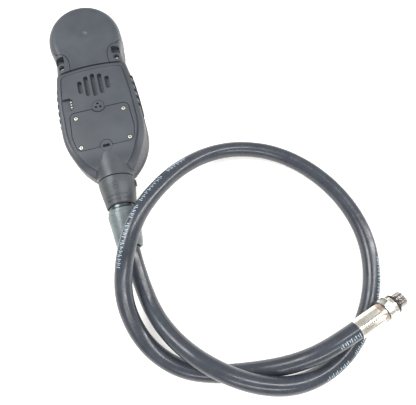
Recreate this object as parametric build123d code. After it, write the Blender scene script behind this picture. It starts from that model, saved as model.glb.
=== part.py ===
"""Hose-mounted instrument console (back up, face down) with its coiled high pressure hose.

Millimetres. +Z is up, out of the console's back. +Y runs along the console to its round
compass end, and the hose leaves along -Y. The origin lies under the middle of the console,
on the surface that it rests on.
"""
import os
from math import cos, pi, radians, sin, tan

from build123d import *

os.makedirs("parts", exist_ok=True)

# ---- driving dimensions -------------------------------------------------------------------
HOSE_D = 13.0          # rubber hose, outside
AXIS_Z = 17.0          # height of the hose swivel's axis
PART_Z = 14.0          # parting plane between the front and the rear half
RIM_Z = 32.7           # top of the rim round the raised panel
BACK_Z = 34.0          # top of the raised panel and of the compass cover
WALL = 2.8             # moulded wall

COMPASS_Y = 63.4       # centre of the compass
DOME_A = 32.8          # compass end, half width
DOME_B = 36.4          # compass end, from its centre to its tip
WAIST = (30.0, 43.0)   # narrowest place, half width and where
SEAM_Y = 29.0          # seam between compass cover and rear shell, on the centre line
SEAM_R = 136.9         # radius of that seam
SEAM_GAP = 0.4
BASE_Y = -76.2         # flat end of the two shells, behind the lock ring

SENSOR_Y = -13.0       # depth sensor, on the centre line
PLUG_Y = -51.0         # relief plug, on the centre line
SCREW_X = 19.8         # battery door screws
SCREW_TOP_Y = -20.6
SCREW_LOW_Y = -48.3
CORNER_SCREW = (23.9, 32.5)
DOOR_T = 2.4           # thickness of the battery door
LCD_Y = -17.0          # centre of the display
LENS_SEAT_Z = 2.9      # ledge under the display lens and its gasket
BUTTON_X = 12.0
BUTTON_Y = 18.5
BUTTON_TRAVEL = 1.0

BOARD_Z = 9.0          # underside of the circuit board
BOARD_T = 1.6
CELL_D, CELL_L = 15.6, 27.0   # lithium cell, size CR2
CELL_Y = -34.5
TUB_FLOOR_Z = 12.6

SPIGOT_R = 9.2         # brass fitting that the lock ring turns on
BORE_R = 5.98          # swivel bore, and the stem in it
STEM_R = 5.92

THREAD_R = 5.55        # 7/16-20 UNF, outside
THREAD_L = 7.4
HEX_AF = 14.3          # 9/16 in across flats
FERRULE_R = 7.15

# Centre line of the hose: inner end in the boot, up over its own boot, round the loop
# and over itself to the crimped end fitting.
ROUTE = [
    (0, -106, 17), (0, -133, 17), (1.5, -161, 11.5), (6, -187, 9.5), (17, -210, 14),
    (34, -230.5, 21), (57, -248.5, 22.5), (83, -259.5, 17), (108, -260.5, 10), (133.5, -252.5, 6.5),
    (154.5, -236, 6.5), (172, -212.5, 6.5), (182, -185, 6.5), (183, -157, 6.5), (175, -128, 6.5),
    (158.5, -101, 6.5), (135.5, -80, 6.5), (107.5, -68.5, 7), (79, -69, 12), (52.5, -80.5, 22),
    (30, -98.5, 33.5), (11, -118.5, 40), (-3, -143.5, 37.5), (-12, -169, 24.5), (-10, -193, 13.5),
    (0, -214, 8), (17.5, -230.5, 6.5), (41, -239.5, 6.5), (66, -244, 7.5), (90, -246.5, 13.5),
    (112, -245, 20.5), (136, -239, 22.5), (159, -231.9, 22.5),
]


# ---- helpers ------------------------------------------------------------------------------
def slab(face, low, high):
    """A flat face made solid from one height to another."""
    return extrude(Pos(0, 0, low) * face, high - low)


def rod(radius, x, y, low, high):
    """Upright cylinder."""
    return Pos(x, y, low) * Cylinder(radius, high - low, align=(Align.CENTER, Align.CENTER, Align.MIN))


def block(x0, x1, y0, y1, z0, z1):
    """Box between two corners."""
    return Pos((x0 + x1) / 2, (y0 + y1) / 2, (z0 + z1) / 2) * Box(x1 - x0, y1 - y0, z1 - z0)


def plate(width, height, y, radius, x=0.0):
    """Rounded rectangle centred at x, y."""
    return Pos(x, y) * RectangleRounded(width, height, radius)


def upward(face):
    """The same face with its normal up."""
    return face if face.faces()[0].normal_at().Z > 0 else -face


def turned(profile):
    """Solid of revolution about the swivel axis, from (radius, y) points."""
    face = make_face(Polyline(*profile, close=True))
    return revolve(Pos(0, 0, AXIS_Z) * face, Axis((0, 0, AXIS_Z), (0, 1, 0)))


def turned_tube(outer, inner, y0, y1):
    return turned([(inner, y0), (outer, y0), (outer, y1), (inner, y1)])


def on_end(part):
    """Move a part built along +X at the origin to the end of the hose."""
    start, end = Vector(*ROUTE[-2]), Vector(*ROUTE[-1])
    return Plane(origin=end, x_dir=end - start, z_dir=(0, 0, 1)).location * part


def bar(radius, u0, u1):
    """Cylinder along +X."""
    return Pos((u0 + u1) / 2, 0, 0) * Rot(0, 90, 0) * Cylinder(radius, u1 - u0)


def save(name, shape):
    """Write one node, and leave out empty remains."""
    solids = [s for s in shape.solids() if s.volume > 0.01]
    node = solids[0] if len(solids) == 1 else Compound(children=solids)
    node.label = name
    export_step(node, f"parts/{name}.step")
    print(f"{name:24s} {len(solids):2d} solids {sum(s.volume for s in solids):10.1f} mm3")


# ---- outline of the console ---------------------------------------------------------------
def outline(grow=0.0, dome=0.0, toe=0.0):
    """The console seen from above, grown by moving its points outward, and its ends shrunk."""
    side = [(DOME_A - dome, COMPASS_Y), (WAIST[0] - 0.6 * dome, WAIST[1]), (32.3, 17), (34.2, -12), (34.3, -30)]
    side = [(x + grow, y) for x, y in side]
    tip = (0, -77.5 - grow + toe)
    shoulder = (21.5 + 0.765 * (grow - toe), -67.5 - 0.644 * (grow - toe))
    radii = (DOME_A + grow - dome, DOME_B + grow - dome)
    arc = EllipticalCenterArc((0, COMPASS_Y), *radii, 0, arc_size=180)
    edges = [arc, ThreePointArc((-shoulder[0], shoulder[1]), tip, shoulder)]
    for sign in (1, -1):
        points = [(sign * x, y) for x, y in side]
        edges.append(Spline(*points, tangents=[(0, -1), (0, -1)]))
        edges.append(TangentArc(points[-1], (sign * shoulder[0], shoulder[1]), tangent=(0, -1)))
    return upward(make_face(edges))


def seam_disc(grow=0.0):
    """Everything on the hose side of the seam."""
    return Pos(0, SEAM_Y - SEAM_R) * Circle(SEAM_R + grow)


def crown(y, z, radius):
    """Cutter for what rises above an arc that falls away towards the hose."""
    barrel = Pos(0, y, z - radius) * Rot(0, 90, 0) * Cylinder(radius, 200)
    return block(-80, 80, y - radius, y, z - radius, z + 40) - barrel


RIM_CROWN = crown(-46, RIM_Z, 36)
PANEL_CROWN = crown(-52, BACK_Z, 25)
FRONT_INSET = (1.8, 2.8)   # the front half is smaller than the rear one at its dome and its toe
REAR_INSET = 0.5       # the rear half steps in by this much from the front half
REAR = outline(-REAR_INSET)
END_CUT = block(-60, 60, -120, BASE_Y, -1, 60)
MIRROR = (1, -1)


# ---- rear half ----------------------------------------------------------------------------
def door_face(grow=0.0):
    """Battery door: a rounded trapezium with slightly bulging sides."""
    half = [(-24.2, -15.4), (24.2, -15.4), (25.2, -38), (22.6, -51.4), (-22.6, -51.4), (-25.2, -38)]
    face = make_face(Polyline(*half, close=True))
    face = fillet(face.vertices().filter_by(lambda v: v.Y > -16 or v.Y < -51), 4.5)
    face = offset(face, amount=grow) if grow else face
    return face - Pos(0, SENSOR_Y) * Circle(6.1 - grow) - Pos(0, PLUG_Y) * Circle(5.2 - grow)


def vent_slots(low, high):
    """Five blind sound slots, longest in the middle."""
    lengths = {0.0: (-3.2, 19.8), 5.9: (-1.8, 18.5), 11.7: (2.0, 14.6)}
    cut = Part()
    for x, (y0, y1) in lengths.items():
        for sign in MIRROR if x else (1,):
            cut += slab(Pos(sign * x, (y0 + y1) / 2) * SlotOverall(y1 - y0, 3.8, rotation=90), low, high)
    return cut


def grip_ring(inner, outer, y0, y1):
    """Band between two offsets of the outline, cut off at both ends."""
    band = outline(outer) - outline(inner)
    return band & Pos(0, (y0 + y1) / 2) * Rectangle(100, y1 - y0)


def finger_notches():
    """Five notches in each side, open at the top."""
    rows = (11.0 - 7.3 * k for k in range(5))
    return sum((slab(grip_ring(-1.7, 2, y - 1.7, y + 1.7), 17.2, 40) for y in rows), Part())


def boss():
    """Pointed boss that carries the hose socket: wide above the parting plane only."""
    ogive = turned([(0, -52), (16.7, -52), (16.7, -58), (16.2, -62), (15.6, -68), (14.9, -74),
                    (14.7, BASE_Y - 0.05), (0, BASE_Y - 0.05)])
    upper = ogive & block(-30, 30, -90, -40, PART_Z, 60)
    return upper + turned_tube(12.6, 0.5, -58, BASE_Y - 0.05)


def rear_shell():
    rim_face = REAR & seam_disc(-SEAM_GAP / 2)
    rim = slab(rim_face, PART_Z, RIM_Z)
    top_edges = rim.faces().sort_by(Axis.Z)[-1].edges().filter_by(lambda e: e.center().Y < 24)
    rim = fillet(top_edges, 4.0) - RIM_CROWN
    panel = Part()
    for inset, top in ((0.0, BACK_Z - 0.8), (0.25, BACK_Z - 0.35), (0.75, BACK_Z)):
        step = slab(outline(-5.7 - inset) & seam_disc(-3.9 - inset), 27.5, top)
        corners = step.edges().filter_by(Axis.Z).filter_by(lambda e: e.center().Y > 15)
        panel += fillet(corners, 4.5)
    panel -= PANEL_CROWN
    groove = slab(outline(-4.9) & seam_disc(-3.1), RIM_Z - 0.6, BACK_Z)
    groove = fillet(groove.edges().filter_by(Axis.Z).filter_by(lambda e: e.center().Y > 15), 5.0)
    cavity_face = outline(-WALL - 1.7) & seam_disc(-WALL)
    cavity = slab(cavity_face, PART_Z - 1, 30.0) - Pos(0, 0, -3.6) * RIM_CROWN
    shell = rim - groove - cavity + (panel - cavity)
    pad = block(-27.5, 27.5, -54, -6, 28.6, 31.0) & slab(cavity_face, 20, 32)
    tub = slab(plate(36.4, 20.6, CELL_Y, 2.5), TUB_FLOOR_Z, 31.0)
    cradle = turned_tube(13.2, 0.5, -66, -55) & block(-20, 20, -70, -50, PART_Z, 31)
    shell += pad + tub + cradle + boss()
    for sign in MIRROR:
        shell += rod(2.8, sign * SCREW_X, SCREW_TOP_Y, 24, 31) + rod(2.8, sign * SCREW_X, SCREW_LOW_Y, 25, 31)
    shell -= slab(door_face(0.45), BACK_Z - DOOR_T - 0.05, 40)
    shell -= slab(plate(33.4, 17.4, CELL_Y, 1.5), TUB_FLOOR_Z + 1.4, 40)
    shell -= slab(plate(37.6, 21.6, CELL_Y, 3.5) - plate(34.8, 18.8, CELL_Y, 2.2), BACK_Z - DOOR_T - 1.0, 33)
    for sign in MIRROR:
        for y in (SCREW_TOP_Y, SCREW_LOW_Y):
            shell -= rod(1.02, sign * SCREW_X, y, 26, 40)
    shell -= vent_slots(BACK_Z - 3.0, 40)
    shell -= rod(5.15, 0, SENSOR_Y, BACK_Z - 2.4, 40) + rod(4.2, 0, SENSOR_Y, 20, 40)
    shell -= rod(4.95, 0, PLUG_Y, BACK_Z - 3.0, 40)
    shell -= block(-40, -21.4, -12.3, 0.0, BACK_Z - 2.2, 40) & slab(outline(-4.5), 20, 50)
    shell -= block(-23.0, -19.8, -11.2, -1.6, BACK_Z - 3.4, 40)
    shell -= slab(grip_ring(-3.4, 2, -22.4, 15.2), 16.4, 26.6) + finger_notches()
    shell -= turned([(0, -51), (11.8, -51), (11.8, -62.2), (SPIGOT_R + 0.02, -62.2),
                     (SPIGOT_R + 0.02, -90), (0, -90)])
    return shell - END_CUT - block(-60, 60, -90, 60, 0, PART_Z) + (boss_lower() - END_CUT)


def boss_lower():
    """Lower half of the boss, which hangs into the front shell."""
    ring = turned_tube(12.6, SPIGOT_R + 0.02, -75.9, -62.6)
    return ring & block(-30, 30, -90, -50, 0, PART_Z)


def compass_block():
    """Outer form of the compass end, above the seam."""
    solid = slab(REAR - seam_disc(SEAM_GAP / 2), PART_Z, BACK_Z)
    edges = solid.faces().sort_by(Axis.Z)[-1].edges().filter_by(lambda e: e.center().Y > 30)
    return fillet(edges, 8.0)


def corner_face(sign, grow=0.0):
    """Plan of one corner insert, bounded by an S-shaped seam."""
    seam = [(36, 53.2), (29.6, 51.9), (26.2, 47.6), (21.6, 45.9), (18.2, 41.6), (17.3, 28), (17.2, 20)]
    seam = [(sign * (x - grow), y + grow) for x, y in seam]
    rest = Polyline(seam[-1], (sign * 45, seam[-1][1]), (sign * 45, seam[0][1]), seam[0])
    return upward(make_face([Spline(*seam), rest]))


CORNER_Z = 21.0        # underside of the corner inserts


def compass_cover():
    shell = compass_block()
    for inset, top in ((-3.3, 26.5), (-8.5, BACK_Z - WALL)):
        shell -= slab(outline(inset) - seam_disc(WALL), PART_Z - 1, top)
    for sign in MIRROR:
        shelf = slab(corner_face(sign), CORNER_Z - 2.4, 31) & compass_block()
        shell += shelf
        shell -= slab(corner_face(sign, 0.45), CORNER_Z, 60)
        shell -= rod(1.3, sign * CORNER_SCREW[0], CORNER_SCREW[1], 10, 60)
        shell -= rod(3.1, sign * CORNER_SCREW[0], CORNER_SCREW[1], PART_Z - 1, CORNER_Z - 2.4)
    dimple = Pos(0, COMPASS_Y, BACK_Z + 9.6) * Sphere(10.2)
    return shell - dimple


def corner_insert(sign):
    insert = slab(corner_face(sign, 0.0), CORNER_Z, 60) & compass_block()
    pocket = plate(7.2, 7.6, 40.4, 1.0)
    insert -= slab(Pos(sign * 24.4, 0) * pocket, BACK_Z - 5.4, 60)
    x, y = sign * CORNER_SCREW[0], CORNER_SCREW[1]
    return insert - rod(2.5, x, y, BACK_Z - 5.0, 60) - rod(1.3, x, y, 10, 60)


def screw(head_r, head_h, shank_r, length, x, y, head_z):
    """Cross-recessed pan head screw, head up; head_z is the underside of its head."""
    head = rod(head_r, x, y, head_z, head_z + head_h)
    head = fillet(head.edges().group_by(Axis.Z)[-1], 0.35)
    cross = Part()
    for angle in (0, 90):
        cross += Pos(x, y, head_z + head_h) * Rot(0, 0, angle + 20) * Box(head_r * 1.1, 0.5, 1.2)
    return head - cross + rod(shank_r, x, y, head_z - length, head_z)


# ---- battery compartment and back details -------------------------------------------------
def battery_door():
    door = slab(door_face(), BACK_Z - DOOR_T, BACK_Z)
    door = fillet(door.faces().sort_by(Axis.Z)[-1].edges(), 0.3)
    for sign in MIRROR:
        for y in (SCREW_TOP_Y, SCREW_LOW_Y):
            door -= rod(1.95, sign * SCREW_X, y, BACK_Z - 1.2, 40) + rod(1.1, sign * SCREW_X, y, 28, 40)
    return door


def door_seal():
    outer, inner = plate(37.2, 21.2, CELL_Y, 3.3), plate(35.2, 19.2, CELL_Y, 2.4)
    return slab(outer - inner, BACK_Z - DOOR_T - 1.0, BACK_Z - DOOR_T)


def battery_cell():
    z = TUB_FLOOR_Z + 1.4 + CELL_D / 2 + 0.1
    cell = Rot(0, 90, 0) * Cylinder(CELL_D / 2, CELL_L - 1.2)
    cell = fillet(cell.edges(), 0.8)
    cap = Pos(CELL_L / 2 - 0.6, 0, 0) * Rot(0, 90, 0) * Cylinder(3.0, 1.2)
    return Pos(0, CELL_Y, z) * (cell + cap)


def battery_contacts():
    """A sprung cup for the minus end and a flat leaf for the plus end."""
    z = TUB_FLOOR_Z + 1.4 + CELL_D / 2 + 0.1
    parts = Part()
    for x0, x1, arm in ((-16.5, -16.1, -14.2), (16.1, 16.5, 14.6)):
        leaf = block(x0, x1, CELL_Y - 4, CELL_Y + 4, z - 7, z + 5)
        stub = Pos((x0 + x1 + 2 * arm) / 4, CELL_Y, z) * Rot(0, 90, 0) * Cylinder(2.0, abs(arm - (x0 + x1) / 2))
        parts += leaf + stub
    return parts


def sensor_cap():
    cap = rod(5.0, 0, SENSOR_Y, BACK_Z - 2.4, BACK_Z)
    cap = fillet(cap.edges().group_by(Axis.Z)[-1], 0.3)
    for x, y in ((-0.2, 2.2), (-1.95, -1.0), (1.75, -1.2)):
        cap -= rod(0.95, x, SENSOR_Y + y, 20, 40)
    return cap


def depth_sensor():
    return rod(4.0, 0, SENSOR_Y, 24.5, 31.2) - rod(2.6, 0, SENSOR_Y, 30.4, 32)


def relief_plug():
    plug = rod(4.8, 0, PLUG_Y, BACK_Z - 3.0, BACK_Z)
    return plug - PANEL_CROWN - block(-2.7, 2.7, PLUG_Y - 1.9, PLUG_Y + 0.9, BACK_Z - 2.4, 40)


def data_port_block():
    body = block(-22.8, -20.0, -11.0, -1.8, BACK_Z - 3.4, BACK_Z - 1.0)
    for k in range(3):
        body -= rod(0.56, -21.4, -9.0 + 2.6 * k, 20, 40)
    return body


def data_port_pins():
    return sum((rod(0.55, -21.4, -9.0 + 2.6 * k, BACK_Z - 3.4, BACK_Z - 0.5) for k in range(3)), Part())


def side_grip(sign):
    """Rubber strip in the side of the rear shell, notched like the shell above it."""
    strip = slab(grip_ring(-3.2, 0.7, -22.2, 15.0), 16.6, 26.4)
    strip &= block(0, 60, -30, 30, 0, 60) if sign > 0 else block(-60, 0, -30, 30, 0, 60)
    return strip - finger_notches()


# ---- front half ---------------------------------------------------------------------------
def front_shell():
    shell = slab(outline(0, *FRONT_INSET), 0, PART_Z)
    shell = fillet(shell.faces().sort_by(Axis.Z)[0].edges(), 1.6)
    cavity = slab(outline(-WALL, *FRONT_INSET), 3.4, PART_Z + 1)
    shell -= cavity
    shell -= slab(outline(-4.0, *FRONT_INSET), -1, 0.8)
    turret = rod(22.6, 0, COMPASS_Y, 0.8, PART_Z) - rod(20.5, 0, COMPASS_Y, -1, 20)
    ring_wall = rod(31.0, 0, COMPASS_Y, 0.8, 8.4) & slab(outline(-1, *FRONT_INSET), 0, 20)
    shell += ring_wall - rod(28.9, 0, COMPASS_Y, -1, 6.4)
    shell -= rod(28.9, 0, COMPASS_Y, -1, 6.4)
    shell += turret
    shell -= rod(20.5, 0, COMPASS_Y, -1, 20)
    shell += slab(plate(56, 44, LCD_Y, 5), 3.0, 5.0)
    shell -= slab(plate(51.6, 39.6, LCD_Y, 4.2), -1, LENS_SEAT_Z) + slab(plate(45, 33, LCD_Y, 2.5), -1, 6)
    for sign in MIRROR:
        x = sign * BUTTON_X
        shell += rod(6.6, x, BUTTON_Y, 2.0, 6.0)
        shell -= rod(5.3, x, BUTTON_Y, -1, 4.0) + rod(2.3, x, BUTTON_Y, -1, 8)
        shell += rod(3.0, sign * CORNER_SCREW[0], CORNER_SCREW[1], 3, CORNER_Z - 2.6)
        shell -= rod(1.27, sign * CORNER_SCREW[0], CORNER_SCREW[1], 6.9, 30)
        shell += rod(2.4, sign * 24, -34, 3, BOARD_Z) + rod(2.4, sign * 24, 2, 3, BOARD_Z)
    shell -= turned([(0, -54), (12.9, -54), (12.9, -90), (0, -90)])
    return shell - END_CUT


def display_lens():
    lens = slab(plate(51.2, 39.2, LCD_Y, 4.0), 0.9, LENS_SEAT_Z - 0.5)
    return fillet(lens.faces().sort_by(Axis.Z)[0].edges(), 0.4)


def lens_gasket():
    frame = plate(50.8, 38.8, LCD_Y, 3.8) - plate(46, 34, LCD_Y, 2.8)
    return slab(frame, LENS_SEAT_Z - 0.5, LENS_SEAT_Z)


def lcd_module():
    return slab(plate(44.4, 31.4, LCD_Y, 0.6), 5.1, 7.6)


def circuit_board():
    board = slab(plate(54, 68, -10, 3), BOARD_Z, BOARD_Z + BOARD_T)
    for sign in MIRROR:
        board -= rod(1.1, sign * 24, -34, 0, 20) + rod(1.1, sign * 24, 2, 0, 20)
    return board


def board_screws():
    group = Part()
    for sign in MIRROR:
        for y in (-34, 2):
            group += rod(1.9, sign * 24, y, BOARD_Z + BOARD_T, BOARD_Z + BOARD_T + 1.2)
            group += rod(1.05, sign * 24, y, BOARD_Z + 0.01, BOARD_Z + BOARD_T + 0.5)
    return group


def tact_switches():
    group = Part()
    for sign in MIRROR:
        x = sign * BUTTON_X
        group += block(x - 3, x + 3, BUTTON_Y - 3, BUTTON_Y + 3, BOARD_Z - 1.0, BOARD_Z)
        group += rod(1.5, x, BUTTON_Y, BOARD_Z - 1.3, BOARD_Z - 1.0)
    return group


def push_button(sign):
    """Round cap in its well, with a stem that reaches to the switch."""
    x = sign * BUTTON_X
    cap = rod(5.0, x, BUTTON_Y, 0.3, 2.7)
    cap = fillet(cap.edges().group_by(Axis.Z)[0], 0.8)
    return cap + rod(2.25, x, BUTTON_Y, 2.7, 6.2)


def buzzer():
    return rod(11.0, 0, 8.0, 28.8, 30.0)


# ---- compass ------------------------------------------------------------------------------
def compass_bezel():
    bezel = rod(28.5, 0, COMPASS_Y, 0.35, 6.0) - rod(22.95, 0, COMPASS_Y, -1, 10)
    bezel = chamfer(bezel.edges().group_by(Axis.Z)[0], 0.6)
    for k in range(24):
        angle = radians(15 * k)
        bezel -= rod(1.3, 28.6 * cos(angle), COMPASS_Y + 28.6 * sin(angle), -1, 3.4)
    return bezel


def compass_crystal():
    return fillet(rod(20.3, 0, COMPASS_Y, 0.9, 3.1).edges().group_by(Axis.Z)[0], 0.5)


def compass_bowl():
    bowl = rod(20.3, 0, COMPASS_Y, 3.1, 13.5) - rod(18.9, 0, COMPASS_Y, 3.0, 12.1)
    return bowl + rod(2.0, 0, COMPASS_Y, 10.4, 12.2)


def compass_pivot():
    point = Pos(0, COMPASS_Y, 7.6) * Cone(0.8, 0.15, 1.2, rotation=(180, 0, 0))
    return rod(0.8, 0, COMPASS_Y, 8.2, 10.4) + point


def compass_card():
    card = rod(17.4, 0, COMPASS_Y, 5.6, 6.6) + rod(3.0, 0, COMPASS_Y, 6.6, 8.4)
    return card - rod(1.3, 0, COMPASS_Y, 6.7, 9)


# ---- swivel and hose ----------------------------------------------------------------------
def pressure_fitting():
    """Brass socket: spigot for the lock ring, swivel bore and cavity for the clip."""
    body = turned([(0, -57.0), (11.6, -57.0), (11.6, -62.0), (SPIGOT_R, -62.0), (SPIGOT_R, -94.0), (0, -94.0)])
    body -= turned([(0, -61.6), (7.7, -61.6), (7.7, -66.6), (BORE_R, -66.6), (BORE_R, -95), (0, -95)])
    return body - turned([(0, -50), (1.2, -50), (1.2, -63), (0, -63)])


def pressure_transducer():
    can = turned([(0, -56.9), (7.6, -56.9), (7.6, -49.5), (3.0, -49.5), (3.0, -46.6), (0, -46.6)])
    return can - turned([(0, -57), (1.2, -57), (1.2, -54), (0, -54)])


def lock_ring():
    """Tapered collar that turns on the spigot to lock the hose."""
    ring = turned([(9.5, BASE_Y - 0.7), (14.6, BASE_Y - 0.7), (14.8, BASE_Y - 1.3), (14.4, -83), (13.2, -91),
                   (12.0, -99.4), (11.4, -100), (10.7, -100), (10.7, -97.0), (6.3, -97.0), (6.3, -94.4),
                   (9.5, -94.4)])
    lug = block(13.4, 15.4, -84.5, -79.5, AXIS_Z - 1.6, AXIS_Z + 1.6)
    return ring + fillet(lug.edges().filter_by(Axis.X), 0.7)


def swivel_stem():
    stem = turned([(0, -64.6), (5.4, -64.6), (STEM_R, -65.2), (STEM_R, -97.4), (10.3, -97.4), (10.3, -102.4),
                   (9.6, -103.4), (4.9, -103.4), (4.9, -106), (0, -106)])
    grooves = turned_tube(8, 4.75, -70.8, -69.2) + turned_tube(8, 4.75, -74.8, -73.2)
    grooves += turned_tube(8, 4.9, -66.3, -65.5)
    passage = turned([(0, -60), (1.2, -60), (1.2, -110), (0, -110)])
    return stem - grooves - passage


def stem_seals():
    rings = Part()
    for y in (-70.0, -74.0):
        ring = Torus(5.35, 0.58)
        rings += Pos(0, y, AXIS_Z) * Rot(90, 0, 0) * ring
    return rings


def retaining_clip():
    ring = turned_tube(7.2, 4.92, -66.25, -65.55)
    return ring - block(-2.4, 2.4, -70, -60, 0, AXIS_Z)


def inner_ferrule():
    return turned_tube(7.3, HOSE_D / 2 + 0.02, -120, -104.2) + turned_tube(7.3, 5.0, -104.2, -103.7)


def hose_boot():
    """Rubber strain relief over the crimp, with a step by the collar and a flared mouth."""
    return turned([(10.4, -103.7), (11.7, -103.7), (11.9, -106.2), (12.4, -106.8), (12.2, -110), (10.4, -130.6),
                   (9.5, -134), (7.9, -134), (7.0, -130), (7.0, -121), (7.45, -120.5), (7.45, -104.4)])


def route_radii():
    """Largest arc that each corner of the route has room for."""
    points = [Vector(*p) for p in ROUTE]
    radii = []
    for before, here, after in zip(points, points[1:], points[2:]):
        into, out = here - before, after - here
        radii.append(0.45 * min(into.length, out.length) / tan(radians(into.get_angle(out)) / 2))
    return radii


def hose():
    radii = route_radii()
    print("hose radii", [round(r) for r in radii], "smallest", round(min(radii), 1))
    path = FilletPolyline(*ROUTE, radius=radii)
    tube = sweep(Plane(origin=path @ 0, z_dir=path % 0) * Circle(HOSE_D / 2), path=path)
    exact = pi * HOSE_D ** 2 / 4 * path.length
    print(f"hose length {path.length:.1f} volume {tube.volume:.0f} against {exact:.0f}")
    return tube


def end_ferrule():
    """Crimped sleeve, with eight long flats over the hose."""
    sleeve = bar(FERRULE_R, -16, 8.4)
    sleeve = chamfer(sleeve.edges(), 0.35)
    flats = extrude(Plane.YZ.offset(-13.5) * RegularPolygon(FERRULE_R - 0.28, 8, major_radius=False), 18)
    sleeve -= bar(9, -13.5, 4.5) - flats
    return on_end(sleeve - bar(HOSE_D / 2 + 0.02, -17, 0) - bar(3.6, -1, 9))


def end_fitting():
    """Barbed core, hexagon, flange with its O-ring groove, and 7/16-20 UNF stub."""
    core = bar(3.55, 0.02, 8.6)
    hexagon = extrude(Plane.YZ.offset(8.45) * RegularPolygon(HEX_AF / 2, 6, major_radius=False), 5.6)
    hexagon &= chamfer(bar(8.25, 8.45, 14.05).edges(), 0.8)
    flange = chamfer(bar(7.2, 14.05, 18.9).edges().group_by(Axis.X)[-1], 0.5)
    stub = chamfer(bar(THREAD_R, 18.9, 18.9 + THREAD_L).edges().group_by(Axis.X)[-1], 0.7)
    groove = bar(8, 17.0, 18.9) - bar(5.0, 16, 19.6)
    return on_end(core + hexagon + flange + stub - groove - bar(1.6, -1, 30))


def end_seal():
    ring = Pos(17.95, 0, 0) * Rot(0, 90, 0) * Torus(6.25, 0.93)
    return on_end(ring - bar(5.05, 15, 20))


# ---- write every node ---------------------------------------------------------------------
def main():
    save("rear_shell", rear_shell())
    save("compass_cover", compass_cover())
    for side, sign in (("left", -1), ("right", 1)):
        save(f"corner_insert_{side}", corner_insert(sign))
        save(f"side_grip_{side}", side_grip(sign))
        save(f"button_{side}", push_button(sign))
    corner = [screw(1.9, 1.3, 1.22, 20.0, s * CORNER_SCREW[0], CORNER_SCREW[1], BACK_Z - 5.0) for s in MIRROR]
    save("corner_screws", corner[0] + corner[1])
    door_screws = Part()
    for sign in MIRROR:
        for y in (SCREW_TOP_Y, SCREW_LOW_Y):
            door_screws += screw(1.55, 1.0, 0.98, 5.0, sign * SCREW_X, y, BACK_Z - 1.2)
    save("battery_door_screws", door_screws)
    for name, build in (
            ("battery_door", battery_door), ("battery_door_seal", door_seal), ("battery_cell", battery_cell),
            ("battery_contacts", battery_contacts), ("sensor_cap", sensor_cap), ("depth_sensor", depth_sensor),
            ("relief_plug", relief_plug), ("data_port_block", data_port_block),
            ("data_port_pins", data_port_pins), ("front_shell", front_shell), ("display_lens", display_lens),
            ("lens_gasket", lens_gasket), ("lcd_module", lcd_module), ("circuit_board", circuit_board),
            ("board_screws", board_screws), ("tact_switches", tact_switches), ("buzzer", buzzer),
            ("compass_bezel", compass_bezel), ("compass_crystal", compass_crystal),
            ("compass_bowl", compass_bowl), ("compass_pivot", compass_pivot), ("compass_card", compass_card),
            ("pressure_fitting", pressure_fitting), ("pressure_transducer", pressure_transducer),
            ("lock_ring", lock_ring), ("swivel_stem", swivel_stem), ("stem_seals", stem_seals),
            ("retaining_clip", retaining_clip), ("inner_ferrule", inner_ferrule), ("hose_boot", hose_boot),
            ("hose", hose), ("end_ferrule", end_ferrule), ("end_fitting", end_fitting),
            ("end_seal", end_seal)):
        save(name, build())


main()
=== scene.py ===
"""Looks of the hose-mounted dive instrument console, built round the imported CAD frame."""
from math import cos, pi, radians, sin

import bpy
from mathutils import Matrix, Vector


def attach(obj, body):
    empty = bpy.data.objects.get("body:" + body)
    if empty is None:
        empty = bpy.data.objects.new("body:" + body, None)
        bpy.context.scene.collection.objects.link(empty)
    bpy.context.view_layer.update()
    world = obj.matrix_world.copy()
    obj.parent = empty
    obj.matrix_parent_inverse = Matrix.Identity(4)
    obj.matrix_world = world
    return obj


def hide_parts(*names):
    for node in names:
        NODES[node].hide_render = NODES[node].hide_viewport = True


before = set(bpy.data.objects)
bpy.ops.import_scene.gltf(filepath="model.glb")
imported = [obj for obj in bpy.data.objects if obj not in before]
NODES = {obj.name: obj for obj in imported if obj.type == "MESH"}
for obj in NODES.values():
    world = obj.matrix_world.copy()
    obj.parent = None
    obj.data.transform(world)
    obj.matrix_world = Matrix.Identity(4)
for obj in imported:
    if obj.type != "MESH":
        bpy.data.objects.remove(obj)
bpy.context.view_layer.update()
MM = 0.001
UP = Vector((0, 0, 1))
scene = bpy.context.scene

# ---- camera -------------------------------------------------------------------------------
camera = bpy.data.objects.new("camera", bpy.data.cameras.new("camera"))
camera.location = (0.0376, -0.2234, 0.3290)
camera.rotation_euler = (radians(20), 0, radians(-15.19))
camera.data.lens = 35.74
camera.data.sensor_width = 36
camera.data.clip_start = 0.01
scene.collection.objects.link(camera)
scene.camera = camera


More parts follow.
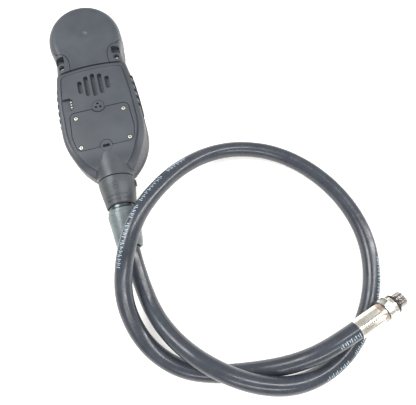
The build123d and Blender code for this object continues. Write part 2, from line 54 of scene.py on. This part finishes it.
# ---- material helpers ---------------------------------------------------------------------
class Shader:
    """A principled material with small helpers for its node tree."""

    def __init__(self, name, color, roughness, metallic=0.0):
        self.mat = bpy.data.materials.new(name)
        self.mat.use_nodes = True
        self.nodes = self.mat.node_tree.nodes
        self.links = self.mat.node_tree.links
        self.bsdf = self.nodes["Principled BSDF"]
        self.bsdf.inputs["Base Color"].default_value = (*color, 1)
        self.bsdf.inputs["Roughness"].default_value = roughness
        self.bsdf.inputs["Metallic"].default_value = metallic
        self.coords = self.nodes.new("ShaderNodeTexCoord").outputs["Object"]
        self.mat.diffuse_color = (*color, 1)
        self.normal = None

    def noise(self, scale, detail=3.0, rough=0.5):
        node = self.nodes.new("ShaderNodeTexNoise")
        node.inputs["Scale"].default_value = scale
        node.inputs["Detail"].default_value = detail
        node.inputs["Roughness"].default_value = rough
        self.links.new(self.coords, node.inputs["Vector"])
        return node.outputs["Fac"]

    def ramp(self, fac, stops):
        node = self.nodes.new("ShaderNodeValToRGB")
        elements = node.color_ramp.elements
        while len(elements) < len(stops):
            elements.new(0.5)
        for element, (place, color) in zip(elements, stops):
            element.position = place
            element.color = (*color, 1)
        self.links.new(fac, node.inputs["Fac"])
        return node.outputs["Color"]

    def values(self, fac, low, high, start=0.3, end=0.7):
        node = self.nodes.new("ShaderNodeMapRange")
        for key, value in (("From Min", start), ("From Max", end), ("To Min", low), ("To Max", high)):
            node.inputs[key].default_value = value
        self.links.new(fac, node.inputs["Value"])
        return node.outputs["Result"]

    def mix(self, fac, a, b):
        node = self.nodes.new("ShaderNodeMix")
        node.data_type = "RGBA"
        self.links.new(fac, node.inputs["Factor"])
        for socket, value in (("A", a), ("B", b)):
            target = [s for s in node.inputs if s.name == socket and s.type == "RGBA"][0]
            if isinstance(value, tuple):
                target.default_value = (*value, 1)
            else:
                self.links.new(value, target)
        return [s for s in node.outputs if s.type == "RGBA"][0]

    def bump(self, height, strength, distance):
        node = self.nodes.new("ShaderNodeBump")
        node.inputs["Strength"].default_value = strength
        node.inputs["Distance"].default_value = distance
        self.links.new(height, node.inputs["Height"])
        if self.normal is not None:
            self.links.new(self.normal, node.inputs["Normal"])
        self.normal = node.outputs["Normal"]
        self.links.new(self.normal, self.bsdf.inputs["Normal"])

    def set(self, name, output):
        self.links.new(output, self.bsdf.inputs[name])


def scaled(color, k):
    return tuple(min(1.0, c * k) for c in color)


def moulded(name, color, roughness=0.5, grain=0.12):
    """Moulded plastic: spark-eroded grain, faint flow marks and handling dust."""
    s = Shader(name, color, roughness)
    cloud = s.noise(28, 4, 0.55)
    tint = s.ramp(cloud, [(0.32, scaled(color, 0.84)), (0.68, scaled(color, 1.2))])
    dust = s.values(s.noise(420, 5, 0.7), 0, 0.35, 0.62, 0.8)
    s.set("Base Color", s.mix(dust, tint, scaled(color, 2.0)))
    s.set("Roughness", s.values(s.noise(90, 4, 0.6), roughness - 0.08, roughness + 0.1))
    s.bump(s.noise(2600, 2), grain, 0.00012)
    return s.mat


def rubber(name, color, roughness=0.42, bump=0.1):
    """Rubber with a faint bloom and fine drag marks."""
    s = Shader(name, color, roughness)
    cloud = s.noise(60, 5, 0.6)
    s.set("Base Color", s.ramp(cloud, [(0.3, scaled(color, 0.8)), (0.75, scaled(color, 1.35))]))
    s.set("Roughness", s.values(s.noise(140, 4, 0.65), roughness - 0.08, roughness + 0.12))
    s.bump(s.noise(1500, 3), bump, 0.0001)
    s.bump(s.noise(160, 3), bump, 0.0003)
    return s.mat


def metal(name, color, roughness, stain=None, stain_from=0.6, scratch=0.15, metallic=1.0):
    """Plated or turned metal with fine scratches and, if asked, stains."""
    s = Shader(name, color, roughness, metallic)
    cloud = s.noise(160, 3, 0.5)
    tint = s.ramp(cloud, [(0.35, scaled(color, 0.9)), (0.65, scaled(color, 1.06))])
    if stain:
        mask = s.values(s.noise(130, 6, 0.7), 0, 1, stain_from, stain_from + 0.1)
        tint = s.mix(mask, tint, stain)
        s.set("Metallic", s.values(s.noise(130, 6, 0.7), 1.0, 0.35, stain_from, stain_from + 0.1))
    s.set("Base Color", tint)
    s.set("Roughness", s.values(s.noise(500, 3, 0.6), roughness * 0.85, roughness * 1.25))
    s.bump(s.noise(1600, 3), scratch, 0.00006)
    return s.mat


def glass(name, color, alpha):
    s = Shader(name, color, 0.06)
    s.bsdf.inputs["Alpha"].default_value = alpha
    s.set("Roughness", s.values(s.noise(300, 4), 0.04, 0.14))
    return s.mat


# ---- materials ----------------------------------------------------------------------------
SHELL = moulded("shell_plastic", (0.046, 0.053, 0.063), 0.44)
COVER = moulded("cover_plastic", (0.044, 0.051, 0.060), 0.42)
FRONT = moulded("front_plastic", (0.036, 0.041, 0.047), 0.5)
TRIM = moulded("dark_trim", (0.030, 0.034, 0.040), 0.5)
RING = moulded("lock_ring_plastic", (0.048, 0.055, 0.061), 0.42)
# Dark plastic of the data port; on the depth sensor it is painted shade that makes the sensor holes above it
# read black.
PORT_AND_HOLE_SHADE = moulded("port_plastic_and_hole_shade", (0.040, 0.045, 0.052), 0.55)
GRIP = rubber("grip_rubber", (0.036, 0.042, 0.048), 0.55)
BUTTON = rubber("button_rubber", (0.020, 0.021, 0.022), 0.55)
HOSE = rubber("hose_rubber", (0.036, 0.041, 0.052), 0.22, 0.02)
BOOT = rubber("boot_rubber", (0.112, 0.138, 0.144), 0.28, 0.04)
# Dark grey metal for the swivel stem, so its ring between lock ring and boot shows dark.
STEM = metal("dark_stem_metal", (0.10, 0.11, 0.115), 0.3)
ORING = rubber("o_ring_rubber", (0.008, 0.008, 0.009), 0.3, 0.04)
INK = moulded("pale_ink", (0.42, 0.55, 0.66), 0.5, 0.05)
# Dark print for the display and dials; on the battery door screws it is painted shade in the sockets.
PRINT_AND_SOCKET_SHADE = moulded("dark_print_and_socket_shade", (0.012, 0.014, 0.013), 0.5, 0.02)
STEEL = metal("screw_steel", (0.86, 0.81, 0.71), 0.34, metallic=0.75)
# Corner screws: a pale cream, mostly matte finish stands in for their metal reflections, a painted glint that
# keeps them bright in their dark recesses.
GLINT_PAINTED_STEEL = metal("sunk_screw_painted_glint", (0.95, 0.90, 0.80), 0.5, metallic=0.35)
# Nickel plate with real stains; its lowered metallic adds a pale matte share that paints in bright
# reflection.
NICKEL_PAINTED_REFLECTION = metal("nickel_plate_painted_reflection", (0.84, 0.79, 0.69), 0.26, stain=(0.44, 0.34, 0.26), stain_from=0.72,
               metallic=0.8)
HEX_NICKEL = metal("hexagon_nickel", (0.50, 0.515, 0.485), 0.24, stain=(0.34, 0.26, 0.2), stain_from=0.72)
THREAD_STEEL = metal("thread_nickel", (0.40, 0.37, 0.355), 0.22)
STAINED = metal("stained_nickel", (0.60, 0.52, 0.46), 0.32, stain=(0.28, 0.14, 0.10), stain_from=0.5)
# Dark metal for the stamp on the ferrule sleeve: painted shade of its grooves.
STAMP_GROOVE_SHADE = metal("stamp_groove_painted_shade", (0.16, 0.15, 0.14), 0.45)
BRASS = metal("turned_brass", (0.75, 0.58, 0.30), 0.3)
# Pressure fitting brass painted nearly black: painted shade, so the gap round the lock ring where it shows
# reads dark.
GAP_SHADE_BRASS = metal("brass_painted_gap_shade", (0.10, 0.085, 0.06), 0.5)
GOLD = metal("gold_contact", (0.90, 0.74, 0.40), 0.2)
CLEAR = glass("clear_window", (0.80, 0.84, 0.86), 0.25)
LCD = moulded("lcd_cell", (0.24, 0.28, 0.23), 0.25, 0.02)
BOARD = moulded("solder_mask", (0.02, 0.13, 0.06), 0.3, 0.05)
CARD = moulded("card_print", (0.62, 0.66, 0.52), 0.5, 0.05)
WRAP = moulded("cell_wrap", (0.03, 0.05, 0.14), 0.3, 0.03)

FINISH = {
    SHELL: ["rear_shell", "battery_door", "sensor_cap", "relief_plug"],
    COVER: ["compass_cover", "corner_insert_left", "corner_insert_right"],
    FRONT: ["front_shell", "compass_bezel", "compass_bowl"],
    TRIM: ["tact_switches"],
    RING: ["lock_ring"],
    GRIP: ["side_grip_left", "side_grip_right"],
    BUTTON: ["button_left", "button_right"],
    BOOT: ["hose_boot"],
    ORING: ["battery_door_seal", "lens_gasket", "stem_seals", "end_seal"],
    GLINT_PAINTED_STEEL: ["corner_screws"],
    # The depth sensor takes the dark port plastic: painted shade in the sensor holes.
    PORT_AND_HOLE_SHADE: ["depth_sensor", "data_port_block"],
    STEEL: ["battery_door_screws", "board_screws", "retaining_clip", "pressure_transducer", "compass_pivot",
            "data_port_pins"],
    NICKEL_PAINTED_REFLECTION: ["end_ferrule", "end_fitting", "inner_ferrule"],
    STEM: ["swivel_stem"],
    BRASS: ["buzzer"],
    # The pressure fitting takes the dark brass: painted shade in the lock ring gap.
    GAP_SHADE_BRASS: ["pressure_fitting"],
    GOLD: ["battery_contacts"],
    CLEAR: ["display_lens", "compass_crystal"],
    LCD: ["lcd_module"],
    BOARD: ["circuit_board"],
    CARD: ["compass_card"],
    WRAP: ["battery_cell"],
}
for finish, names in FINISH.items():
    for name in names:
        NODES[name].data.materials.clear()
        NODES[name].data.materials.append(finish)


# ---- mesh helpers -------------------------------------------------------------------------
def mesh_object(name, verts, faces, *finishes, smooth=True, zones=()):
    """Mesh piece; zones says which of its finishes each face takes, if it has several."""
    mesh = bpy.data.meshes.new(name)
    mesh.from_pydata([tuple(v) for v in verts], [], faces)
    for finish in finishes:
        mesh.materials.append(finish)
    for polygon in mesh.polygons:
        polygon.use_smooth = smooth
    for polygon, zone in zip(mesh.polygons, zones):
        polygon.material_index = zone
    if smooth:
        mesh.set_sharp_from_angle(angle=radians(32))
    obj = bpy.data.objects.new(name, mesh)
    scene.collection.objects.link(obj)
    return obj


# ---- hose ---------------------------------------------------------------------------------
# The same points as the CAD hose, in millimetres.
ROUTE = [
    (0, -106, 17), (0, -133, 17), (1.5, -161, 11.5), (6, -187, 9.5), (17, -210, 14),
    (34, -230.5, 21), (57, -248.5, 22.5), (83, -259.5, 17), (108, -260.5, 10), (133.5, -252.5, 6.5),
    (154.5, -236, 6.5), (172, -212.5, 6.5), (182, -185, 6.5), (183, -157, 6.5), (175, -128, 6.5),
    (158.5, -101, 6.5), (135.5, -80, 6.5), (107.5, -68.5, 7), (79, -69, 12), (52.5, -80.5, 22),
    (30, -98.5, 33.5), (11, -118.5, 40), (-3, -143.5, 37.5), (-12, -169, 24.5), (-10, -193, 13.5),
    (0, -214, 8), (17.5, -230.5, 6.5), (41, -239.5, 6.5), (66, -244, 7.5), (90, -246.5, 13.5),
    (112, -245, 20.5), (136, -239, 22.5), (159, -231.9, 22.5),
]
HOSE_R = 6.5 * MM

curve = bpy.data.curves.new("hose_line", "CURVE")
curve.dimensions = "3D"
curve.resolution_u = 16
spline = curve.splines.new("NURBS")
spline.points.add(len(ROUTE) - 1)
for point, (x, y, z) in zip(spline.points, ROUTE):
    point.co = (x * MM, y * MM, z * MM, 1)
spline.order_u = 3
spline.use_endpoint_u = True
line_object = bpy.data.objects.new("hose_line", curve)
LINE = [v.co.copy() for v in bpy.data.meshes.new_from_object(line_object).vertices]
bpy.data.objects.remove(line_object)

STATIONS = [0.0]
for a, b in zip(LINE, LINE[1:]):
    STATIONS.append(STATIONS[-1] + (b - a).length)


def along(s):
    """Point and direction of the hose's line at a distance from its start."""
    k = 0
    while k < len(STATIONS) - 2 and STATIONS[k + 1] < s:
        k += 1
    t = (s - STATIONS[k]) / (STATIONS[k + 1] - STATIONS[k])
    before, after = LINE[max(k - 1, 0)], LINE[min(k + 2, len(LINE) - 1)]
    start, end = (LINE[k + 1] - before).normalized(), (after - LINE[k]).normalized()
    return LINE[k].lerp(LINE[k + 1], t), start.lerp(end, t).normalized()


def on_hose(s, angle, radius):
    """Point beside the hose's line: angle 0 is on top, and positive on the loop's outside."""
    place, ahead = along(s)
    side = ahead.cross(UP).normalized()
    over = side.cross(ahead)
    return place + radius * (cos(angle) * over + sin(angle) * side)


AROUND = 40
verts, faces = [], []
for s in STATIONS:
    for k in range(AROUND):
        verts.append(on_hose(s, 2 * pi * k / AROUND, HOSE_R))
for j in range(len(STATIONS) - 1):
    for k in range(AROUND):
        a, b = j * AROUND + k, j * AROUND + (k + 1) % AROUND
        faces.append((a, b, b + AROUND, a + AROUND))
faces.append(tuple(range(AROUND)))
faces.append(tuple(reversed(range(len(verts) - AROUND, len(verts)))))
hose = mesh_object("hose_tube", verts, faces, HOSE)
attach(hose, "hose")
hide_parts("hose")


# ---- print on the hose: groups of short strokes, no letters ------------------------------
STROKES = (((0, -1, 0.9), (1.5, -0.5, 0.5)), ((0, -1, 0.1), (0.8, -0.4, 1), (1.6, -1, 0.3)),
           ((0, -0.8, 0.8), (1.6, -1, 0)), ((0, -1, 0.5), (0.8, 0, 1), (1.6, -0.8, 0.8)),
           ((0, 0.1, 1), (0.8, -1, 0.2), (1.6, -0.3, 1)), ((0, -1, 1), (0.8, -1, -0.3), (1.6, -0.4, 1)))
# Each group: its first mark, how many marks and the distance between them, in millimetres.
GROUPS = ((0, 7, 2.65), (20, 4, 2.6), (34, 4, 2.6), (48, 8, 3.45), (82, 6, 3.6))
TALL, LINE_W = 1.75, 0.45


def patch(verts, faces, place, u0, u1, v0, v1, nu, nv):
    """Small curved patch: place(u, v) gives each of its points."""
    base = len(verts)
    for i in range(nu + 1):
        for j in range(nv + 1):
            verts.append(place(u0 + (u1 - u0) * i / nu, v0 + (v1 - v0) * j / nv))
    for i in range(nu):
        for j in range(nv):
            a = base + i * (nv + 1) + j
            faces.append((a, a + 1, a + nv + 2, a + nv + 1))


def hose_print(name, start, tilt, groups):
    verts, faces = [], []
    for first, count, pitch in groups:
        for k in range(count):
            base = start - (first + pitch * k) * MM

            def place(u, v):
                return on_hose(base - u * MM, tilt - v * TALL / 6.5, HOSE_R + 0.05 * MM)

            for u, low, high in STROKES[(first * 3 + k * 5 + k * k) % len(STROKES)]:
                patch(verts, faces, place, u, u + LINE_W, low, high, 1, 5)
    piece = mesh_object(name, verts, faces, INK, smooth=False)
    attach(piece, "hose")
    return piece


PRINTS = [hose_print("hose_print_a", 634 * MM, radians(24), GROUPS),
          hose_print("hose_print_b", 324.5 * MM, radians(38), GROUPS),
          hose_print("hose_print_c", 943.5 * MM, radians(27), GROUPS[-1:])]

# ---- end fitting --------------------------------------------------------------------------
END = Vector(ROUTE[-1]) * MM
AXIS = (Vector(ROUTE[-1]) - Vector(ROUTE[-2])).normalized()
ACROSS = UP.cross(AXIS).normalized()
OVER = AXIS.cross(ACROSS)


def on_end(u, radius, angle):
    return END + (u * AXIS + radius * (cos(angle) * ACROSS + sin(angle) * OVER)) * MM


def polygon_radius(apothem, sides, angle):
    step = 2 * pi / sides
    return apothem / cos(angle % step - step / 2)


def lathed(name, profile, finishes, limits, around=96):
    """Surface round the hose's end axis; a radius in the profile may depend on the angle.

    The finishes take over from one another at the limits, along the axis.
    """
    verts, faces, zones = [], [], []
    for u, radius in profile:
        for k in range(around):
            angle = 2 * pi * k / around
            verts.append(on_end(u, radius(angle) if callable(radius) else radius, angle))
    for j in range(len(profile) - 1):
        for k in range(around):
            a, b = j * around + k, j * around + (k + 1) % around
            zones.append(sum(profile[j][0] >= limit for limit in limits))
            faces.append((a, b, b + around, a + around))
    piece = mesh_object(name, verts, faces, *finishes, zones=zones)
    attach(piece, "hose")
    return piece


def crimp(angle):
    return min(7.12, polygon_radius(6.86, 8, angle))


ferrule_profile = [(-14.5, 6.53), (-16, 6.53), (-16, 6.85), (-15.7, 7.12), (-13.9, 7.12), (-13.4, crimp),
                   (4.0, crimp), (4.6, 7.12), (7.2, 7.05), (7.9, 6.8), (8.35, 6.2), (8.4, 3.7)]
ferrule = lathed("ferrule_sleeve", ferrule_profile, (NICKEL_PAINTED_REFLECTION, STAINED), (4.0,))
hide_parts("end_ferrule")


def hexagon(chamfer):
    return lambda angle: min(polygon_radius(7.15, 6, angle), 8.25 - chamfer)


def thread(u, limit):
    turn = u / 1.27
    return lambda angle: min(limit, 5.53 - 0.62 * abs(2 * ((turn - angle / (2 * pi)) % 1) - 1))


THREAD_END = 26.3
fitting_profile = [(8.4, 3.6), (8.46, 6.6), (8.5, hexagon(0.75)), (9.2, hexagon(0.0)), (13.3, hexagon(0.0)),
                   (14.0, hexagon(0.75)), (14.05, 6.9), (14.15, 7.0), (14.4, 7.2), (16.6, 7.2), (16.95, 6.9),
                   (17.0, 5.02), (18.85, 5.02)]
for k in range(56):
    u = 18.9 + 7.3 * k / 55
    fitting_profile.append((u, thread(u, 4.85 + THREAD_END - u)))
fitting_profile += [(THREAD_END, 4.6), (THREAD_END, 2.0), (THREAD_END - 0.4, 1.6), (THREAD_END - 6, 1.6),
                    (THREAD_END - 6, 0.05)]
fitting = lathed("fitting_body", fitting_profile, (HEX_NICKEL, NICKEL_PAINTED_REFLECTION, THREAD_STEEL), (14.0, 17.0))
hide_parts("end_fitting")

# The stamped grooves and marks on the sleeve are flat dark strips laid on it: painted shade of the grooves.
verts, faces = [], []


def on_ferrule(u, v):
    """v runs round the sleeve in millimetres, from its top towards the loop's outside."""
    angle = pi / 2 + 0.1 - v / 7
    return on_end(u, crimp(angle) + 0.04, angle)


for v in (-1.9, 1.9):
    patch(verts, faces, on_ferrule, -11.5, 2.5, v - 0.13, v + 0.13, 4, 1)
for u in (-11.5, 2.2):
    patch(verts, faces, on_ferrule, u, u + 0.26, -1.9, 1.9, 1, 6)
for k in range(6):
    patch(verts, faces, on_ferrule, -9.6 + 1.7 * k, -9.2 + 1.7 * k, -0.8, 0.8 - 0.3 * (k % 3), 1, 4)
stamp = mesh_object("ferrule_stamp_groove_shade", verts, faces, STAMP_GROOVE_SHADE, smooth=False)
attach(stamp, "hose")

# ---- raised marks on the lock ring --------------------------------------------------------
RING_PROFILE = ((-78, 14.75), (-83, 14.4), (-91, 13.2), (-99.4, 12.0))
RING_AXIS = Vector((0, 0, 17))


def ring_radius(y):
    for (ya, ra), (yb, rb) in zip(RING_PROFILE, RING_PROFILE[1:]):
        if y >= yb:
            return ra + (rb - ra) * (ya - y) / (ya - yb)
    return RING_PROFILE[-1][1]


def on_ring(y, v, lift):
    radius = ring_radius(y) + lift
    angle = v / ring_radius(y)
    return (RING_AXIS + Vector((radius * sin(angle), y, radius * cos(angle)))) * MM


def raised(verts, faces, outline, lift=0.22):
    """A raised mark with sloping sides, from its outline as (y, v) points."""
    base, n = len(verts), len(outline)
    cy, cv = sum(p[0] for p in outline) / n, sum(p[1] for p in outline) / n
    for k, height in ((1.0, -0.05), (0.82, lift)):
        for y, v in outline:
            verts.append(on_ring(cy + (y - cy) * k, cv + (v - cv) * k, height))
    faces.append(tuple(base + n + i for i in range(n)))
    for i in range(n):
        j = (i + 1) % n
        faces.append((base + i, base + j, base + n + j, base + n + i))


verts, faces = [], []
for y in (-81.6, -84.4):
    for sign in (-1, 1):
        raised(verts, faces, [(y, 0), (y - 1.9, sign * 2.3), (y - 2.6, sign * 2.3), (y - 0.8, 0)][::sign])
raised(verts, faces, [(-87.6, -1.9), (-88.2, -1.9), (-88.2, 1.9), (-87.6, 1.9)])
for row, (y, count) in enumerate(((-91.9, 8), (-95.2, 9))):
    for k in range(count):
        v = 2.15 * (k - (count - 1) / 2)
        tall = (2.1, 1.6, 2.1, 1.2)[(k * 3 + row) % 4]
        for y0, y1, v0, v1 in ((y, y - tall, v - 0.75, v - 0.3), (y - 0.5, y - 2.1, v + 0.1, v + 0.55)):
            raised(verts, faces, [(y0, v0), (y1, v0), (y1, v1), (y0, v1)], 0.18)
ring_marks = mesh_object("lock_ring_marks", verts, faces, TRIM, smooth=False)
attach(ring_marks, "lock_ring")

# ---- sockets in the battery door screws: dark hexagons of painted shade -------------------
verts, faces = [], []
for x, y in ((-19.8, -20.6), (19.8, -20.6), (-19.8, -48.3), (19.8, -48.3)):
    base = len(verts)
    for radius, z in ((0.72, 33.83), (0.6, 33.83), (0.5, 33.815)):
        for k in range(6):
            angle = pi * k / 3 + x
            verts.append(Vector((x + radius * cos(angle), y + radius * sin(angle), z)) * MM)
    for ring in (0, 6):
        for k in range(6):
            a, b = base + ring + k, base + ring + (k + 1) % 6
            faces.append((a, b, b + 6, a + 6))
    faces.append(tuple(base + 12 + k for k in range(6)))
sockets = mesh_object("screw_socket_shade", verts, faces, PRINT_AND_SOCKET_SHADE, smooth=False)
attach(sockets, "console")


# ---- face of the console ------------------------------------------------------------------
def flat_marks(name, quads, z, body, finish):
    """Flat print on the console's face: each mark is a list of (x, y) points."""
    verts, faces = [], []
    for quad in quads:
        faces.append(tuple(range(len(verts), len(verts) + len(quad))))
        verts += [Vector((x, y, z)) * MM for x, y in quad]
    piece = mesh_object(name, verts, faces, finish, smooth=False)
    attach(piece, body)
    return piece


def bar_mark(x0, x1, y0, y1):
    return [(x0, y0), (x0, y1), (x1, y1), (x1, y0)]


COMPASS_Y = 63.4
SEGMENTS = {"0": "abcdef", "1": "bc", "2": "abged", "3": "abgcd", "4": "fgbc", "5": "afgcd", "8": "abcdefg"}


def digit(char, x, y, w, h):
    """Seven-segment digit, top towards the hose and drawn towards -x, so from below it is mirrored."""
    t = 0.14 * w
    places = {"a": (0, w, h - t, h), "d": (0, w, 0, t), "g": (0, w, h / 2 - t / 2, h / 2 + t / 2),
              "f": (0, t, h / 2, h), "e": (0, t, 0, h / 2),
              "b": (w - t, w, h / 2, h), "c": (w - t, w, 0, h / 2)}
    marks = []
    for key in SEGMENTS[char]:
        u0, u1, v0, v1 = places[key]
        gap = 0.05 * w
        marks.append(bar_mark(x - u0 - gap, x - u1 + gap, y - v0 - gap, y - v1 + gap)[::-1])
    return marks


# The display reads with its top towards the hose, as the diver holds it.
marks = []
for chars, x, y, w, h in (("203", 18, -3.5, 4.2, 8.0), ("48", -2.0, -3.5, 4.2, 8.0),
                          ("32", 18, -16.5, 5.2, 10.0), ("150", 2.5, -18.5, 3.4, 6.5)):
    for k, char in enumerate(chars):
        marks += digit(char, x - k * w * 1.35, y, w, h)
for k in range(9):
    marks.append(bar_mark(-18.5, -16.2, -30 + 2.9 * k, -28 + 2.9 * k))
flat_marks("lcd_segments", marks, 5.04, "console", PRINT_AND_SOCKET_SHADE)
frame_marks = [bar_mark(-22.2, -20.2, -32.7, -1.3), bar_mark(20.2, 22.2, -32.7, -1.3),
               bar_mark(-20.2, 20.2, -32.7, -31.0), bar_mark(-20.2, 20.2, -3.0, -1.3)]
flat_marks("lcd_border", frame_marks, 5.02, "console", TRIM)


def tick(angle, r0, r1, half):
    """Bar from one radius to another round the compass, with its half width."""
    ux, uy = sin(angle), cos(angle)
    return [(ux * r - uy * side, COMPASS_Y + uy * r + ux * side)
            for r, side in ((r0, half), (r0, -half), (r1, -half), (r1, half))]


marks = [tick(radians(10 * k), 14.9 if k % 3 else 13.9, 16.8, 0.22 if k % 3 else 0.4) for k in range(36)]
marks += [tick(radians(90 * k), 3.4, 6.0, 0.3) for k in range(4)]
flat_marks("card_ticks", marks, 5.56, "compass_card", PRINT_AND_SOCKET_SHADE)
marks = [tick(radians(15 * k), 24.2, 26.6 if k % 2 else 27.4, 0.25 if k % 6 else 0.8) for k in range(24)]
flat_marks("bezel_ticks", marks, 0.31, "compass_bezel", INK)


def text_mark(name, chars, place, turn, size, body, finish):
    """Generic dial letters, made to read from below."""
    curve = bpy.data.curves.new(name, "FONT")
    curve.body = chars
    curve.size = size * MM
    curve.align_x = "CENTER"
    curve.align_y = "CENTER"
    curve.resolution_u = 3
    holder = bpy.data.objects.new(name + "_curve", curve)
    scene.collection.objects.link(holder)
    mesh = bpy.data.meshes.new_from_object(holder)
    bpy.data.objects.remove(holder)
    face_down = Matrix.Rotation(turn, 4, "Z") @ Matrix.Rotation(pi, 4, "Y")
    mesh.transform(Matrix.Translation(Vector(place) * MM) @ face_down)
    mesh.materials.clear()
    mesh.materials.append(finish)
    piece = bpy.data.objects.new(name, mesh)
    scene.collection.objects.link(piece)
    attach(piece, body)


for k, chars in enumerate(("N", "3", "6", "E", "12", "15", "S", "21", "24", "W", "30", "33")):
    angle = radians(30 * k)
    place = (11.4 * sin(angle), COMPASS_Y - 11.4 * cos(angle), 5.55)
    text_mark(f"card_text_{k:02d}", chars, place, pi + angle, 4.2 if chars.isalpha() else 2.9, "compass_card",
              PRINT_AND_SOCKET_SHADE)

tuple(LINE[0])

# ---- floor and light ----------------------------------------------------------------------
floor_finish = Shader("floor_white", (0.90, 0.885, 0.85), 0.7)
floor_finish.bump(floor_finish.noise(300), 0.02, 0.0002)
floor_finish.bsdf.inputs["Emission Color"].default_value = (1.0, 0.985, 0.95, 1)
floor_finish.bsdf.inputs["Emission Strength"].default_value = 0.45
HALF_FLOOR = 6.0
FLOOR_CORNERS = ((-1, -1), (1, -1), (1, 1), (-1, 1))
floor = mesh_object("floor", [(x * HALF_FLOOR, y * HALF_FLOOR, 0) for x, y in FLOOR_CORNERS],
                    [(0, 1, 2, 3)], floor_finish.mat, smooth=False)


MIDDLE = Vector((0.05, -0.12, 0))


def softbox(name, place, width, height, power):
    """White area light that faces the middle of the scene."""
    light = bpy.data.lights.new(name, "AREA")
    light.shape = "RECTANGLE"
    light.size = width
    light.size_y = height
    light.energy = power
    obj = bpy.data.objects.new(name, light)
    obj.location = place
    obj.rotation_euler = (MIDDLE - Vector(place)).to_track_quat("-Z", "Y").to_euler()
    scene.collection.objects.link(obj)


softbox("key", (-0.75, 0.45, 1.15), 0.7, 0.7, 17)
softbox("strip_right", (0.8, -0.1, 0.8), 0.16, 1.5, 10)
softbox("strip_front", (0.1, -1.2, 1.0), 1.4, 0.16, 9)
world = bpy.data.worlds.new("world")
world.use_nodes = True
world.node_tree.nodes["Background"].inputs["Color"].default_value = (0.97, 0.985, 1.0, 1)
world.node_tree.nodes["Background"].inputs["Strength"].default_value = 0.6
scene.world = world
scene.view_settings.view_transform = "Standard"
